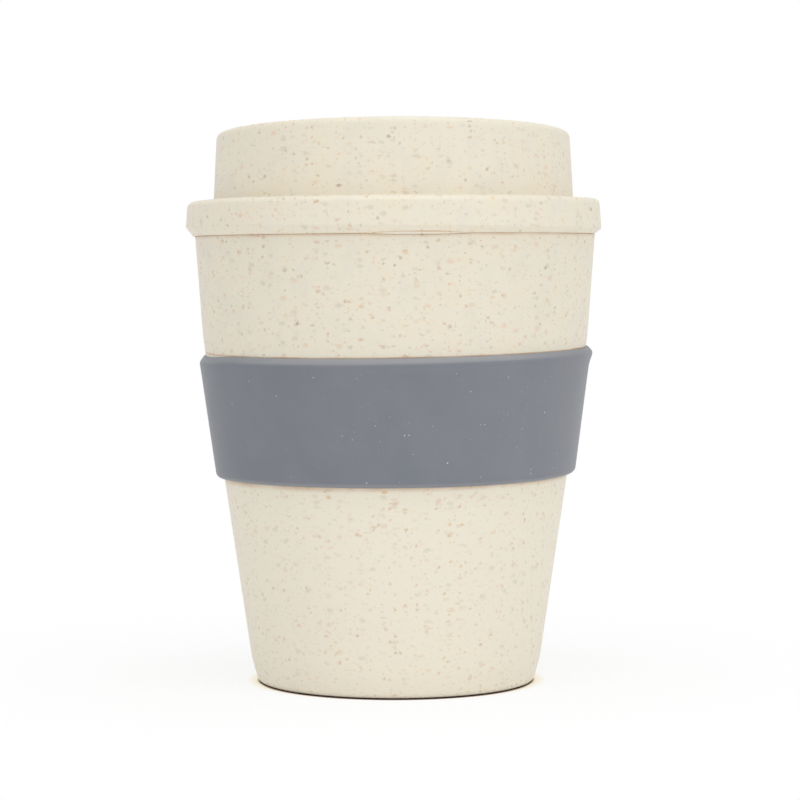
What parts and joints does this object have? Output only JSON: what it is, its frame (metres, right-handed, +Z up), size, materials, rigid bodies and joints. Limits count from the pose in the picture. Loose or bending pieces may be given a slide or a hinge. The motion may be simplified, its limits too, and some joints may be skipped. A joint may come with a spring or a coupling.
{
  "type": "lidded drinking cup",
  "caption": "Tapered reusable cup of speckled straw-filled plastic with a screw lid, a sip slot closed by a flip-up silicone stopper, and a stretched silicone grip band.",
  "frame": {"origin": "The middle of the cup's foot, on the surface that the cup stands on.", "axes": "+Z up along the cup's axis, -Y towards the drinking side of the lid, +X to the right of someone who faces that side."},
  "size_m": [0.092, 0.092, 0.1236],
  "materials": {
    "straw_plastic": "satin, cream, flecked with straw fibre",
    "grey_silicone": "matt blue-grey silicone",
    "clear_silicone": "milky silicone"
  },
  "bodies": {
    "cup": {"cup_body": "straw_plastic"},
    "band": {"grip_band": "grey_silicone"},
    "seal": {"lid_seal": "clear_silicone"},
    "lid": {"lid_shell": "straw_plastic", "stopper_anchor": "grey_silicone"},
    "stopper": {"stopper_flap": "grey_silicone"}
  },
  "joints": [
    {"name": "band_slide", "type": "slide", "parent": "cup", "child": "band", "axis": [0, 0, 1], "range_m": [-0.044, 0]},
    {"name": "lid_rise", "type": "slide", "parent": "cup", "child": "seal", "axis": [0, 0, 1], "range_m": [0, 0.0225]},
    {"name": "lid_turn", "type": "hinge", "parent": "seal", "child": "lid", "pos_m": [0, 0, 0.105], "axis": [0, 0, 1], "range_deg": [0, 900]},
    {"name": "stopper_swing", "type": "hinge", "parent": "lid", "child": "stopper", "pos_m": [0, -0.008, 0.1127], "axis": [-1, 0, 0], "range_deg": [0, 115], "stiffness_Nm_per_rad": 0.0011}
  ],
  "couplings": [
    {"joint": "lid_rise", "follows": "lid_turn", "m_per_rad": 0.0014323}
  ]
}
